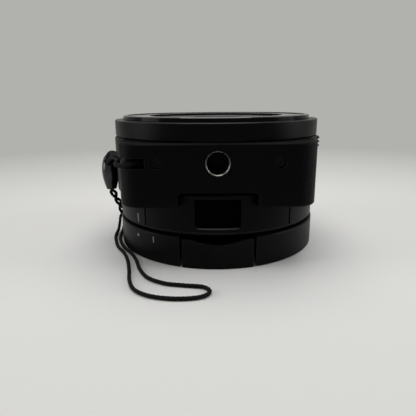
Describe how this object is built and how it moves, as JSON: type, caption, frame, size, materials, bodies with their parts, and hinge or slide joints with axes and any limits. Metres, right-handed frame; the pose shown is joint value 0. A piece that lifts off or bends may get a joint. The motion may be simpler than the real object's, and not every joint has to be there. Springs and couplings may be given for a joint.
{
  "type": "clip-on lens camera",
  "caption": "Round lens-shaped camera with a flat tripod foot and a wrist strap, standing lens up on a phone-clip attachment with folding clips.",
  "frame": {"origin": "centre of the round rubber pad under the attachment, on the resting plane", "axes": "+Z along the lens axis towards the front of the lens, -Y towards the tripod foot, +X towards the zoom lever"},
  "size_m": [0.0683, 0.0788, 0.0388],
  "materials": {
    "body_black": "fine moulded texture",
    "ring_black": "satin",
    "gloss_black": "polished",
    "satin_black": "satin",
    "rubber": "matte",
    "steel": "brushed",
    "thread_metal": "turned",
    "brass": "turned",
    "lens_glass": "coated",
    "board": "lacquered",
    "lamp": "clear",
    "pack_grey": "printed film",
    "cord_black": "braided"
  },
  "bodies": {
    "camera": {"main_housing": "body_black", "front_ring": "ring_black", "lens_bezel": "gloss_black", "light_seal": "rubber", "rear_cover": "satin_black", "side_panel": "body_black", "chassis": "steel", "tripod_socket": "thread_metal", "strap_post": "satin_black", "housing_screws": "satin_black", "shutter_switch": "steel", "power_switch": "steel", "status_lamp": "lamp", "microphones": "steel", "display_window": "gloss_black", "display_module": "board", "usb_socket": "steel", "lens_base": "satin_black", "zoom_motor": "steel", "focus_guides": "steel", "infrared_filter": "lens_glass", "image_sensor": "board", "sensor_plate": "steel", "main_board": "board", "processor_shield": "steel", "nfc_antenna": "board", "card_slot": "steel", "memory_card": "pack_grey", "battery_contacts": "brass", "hook_cord": "cord_black", "strap_bead": "body_black", "hand_cord": "cord_black"},
    "attachment": {"attachment_base": "satin_black", "phone_pads": "rubber", "front_clip_pin": "steel"},
    "front_clip": {"front_clip": "satin_black", "front_clip_pad": "rubber"},
    "clip_slide": {"slide_plate": "steel", "rear_clip_pin": "steel"},
    "rear_clip": {"rear_clip": "satin_black", "rear_clip_pad": "rubber"},
    "battery_drawer": {"battery_cover": "satin_black", "battery_tray": "satin_black", "battery": "pack_grey"},
    "zoom_lever": {"zoom_lever": "body_black"},
    "shutter_button": {"shutter_button": "satin_black"},
    "power_button": {"power_button": "satin_black"},
    "zoom_ring": {"zoom_ring_gear": "satin_black"},
    "pinion": {"zoom_pinion": "brass"},
    "outer_barrel": {"outer_barrel": "body_black"},
    "inner_barrel": {"inner_barrel": "body_black", "front_lens": "lens_glass"},
    "blade_a": {"barrier_blade_a": "satin_black"},
    "blade_b": {"barrier_blade_b": "satin_black"},
    "zoom_group": {"zoom_lens_group": "lens_glass", "iris_unit": "steel"},
    "focus_group": {"focus_lens": "lens_glass"}
  },
  "joints": [
    {"name": "attachment_turn", "type": "hinge", "parent": "camera", "child": "attachment", "pos_m": [0, 0, 0], "axis": [0, 0, 1], "range_deg": [-12, 0]},
    {"name": "front_clip_fold", "type": "hinge", "parent": "attachment", "child": "front_clip", "pos_m": [0, -0.0276, 0.0052], "axis": [1, 0, 0], "range_deg": [-90, 0]},
    {"name": "clip_extend", "type": "slide", "parent": "attachment", "child": "clip_slide", "axis": [0, 1, 0], "range_m": [0, 0.014], "stiffness_N_per_m": 60},
    {"name": "rear_clip_fold", "type": "hinge", "parent": "clip_slide", "child": "rear_clip", "pos_m": [0, 0.0276, 0.0052], "axis": [1, 0, 0], "range_deg": [0, 90]},
    {"name": "battery_drawer_slide", "type": "slide", "parent": "camera", "child": "battery_drawer", "axis": [0, -1, 0], "range_m": [0, 0.03]},
    {"name": "zoom_lever_slide", "type": "slide", "parent": "camera", "child": "zoom_lever", "axis": [0, 1, 0], "range_m": [-0.0015, 0.0015], "stiffness_N_per_m": 300},
    {"name": "shutter_press", "type": "slide", "parent": "camera", "child": "shutter_button", "axis": [-0.9272, -0.3746, 0], "range_m": [0, 0.0006], "stiffness_N_per_m": 800},
    {"name": "power_press", "type": "slide", "parent": "camera", "child": "power_button", "axis": [0, -1, 0], "range_m": [0, 0.0006], "stiffness_N_per_m": 800},
    {"name": "zoom_turn", "type": "hinge", "parent": "camera", "child": "zoom_ring", "pos_m": [0, 0, 0.02], "axis": [0, 0, 1], "range_deg": [0, 100]},
    {"name": "pinion_turn", "type": "hinge", "parent": "camera", "child": "pinion", "pos_m": [0.01782, 0.01782, 0.02], "axis": [0, 0, 1], "continuous": true},
    {"name": "outer_extend", "type": "slide", "parent": "camera", "child": "outer_barrel", "axis": [0, 0, 1], "range_m": [0, 0.01]},
    {"name": "inner_extend", "type": "slide", "parent": "outer_barrel", "child": "inner_barrel", "axis": [0, 0, 1], "range_m": [0, 0.009]},
    {"name": "blade_a_swing", "type": "hinge", "parent": "inner_barrel", "child": "blade_a", "pos_m": [0.011, 0, 0.0368], "axis": [0, 0, 1], "range_deg": [-40, 0]},
    {"name": "blade_b_swing", "type": "hinge", "parent": "inner_barrel", "child": "blade_b", "pos_m": [-0.011, 0, 0.0368], "axis": [0, 0, 1], "range_deg": [-40, 0]},
    {"name": "zoom_group_move", "type": "slide", "parent": "camera", "child": "zoom_group", "axis": [0, 0, 1], "range_m": [0, 0.005]},
    {"name": "focus_move", "type": "slide", "parent": "camera", "child": "focus_group", "axis": [0, 0, 1], "range_m": [0, 0.0025]}
  ],
  "couplings": [
    {"joint": "zoom_turn", "follows": "outer_extend", "rad_per_m": 174.53},
    {"joint": "pinion_turn", "follows": "outer_extend", "rad_per_m": -1199.9},
    {"joint": "inner_extend", "follows": "outer_extend", "ratio": 0.9},
    {"joint": "blade_a_swing", "follows": "outer_extend", "rad_per_m": -69.813},
    {"joint": "blade_b_swing", "follows": "outer_extend", "rad_per_m": -69.813},
    {"joint": "zoom_group_move", "follows": "outer_extend", "ratio": 0.5}
  ]
}
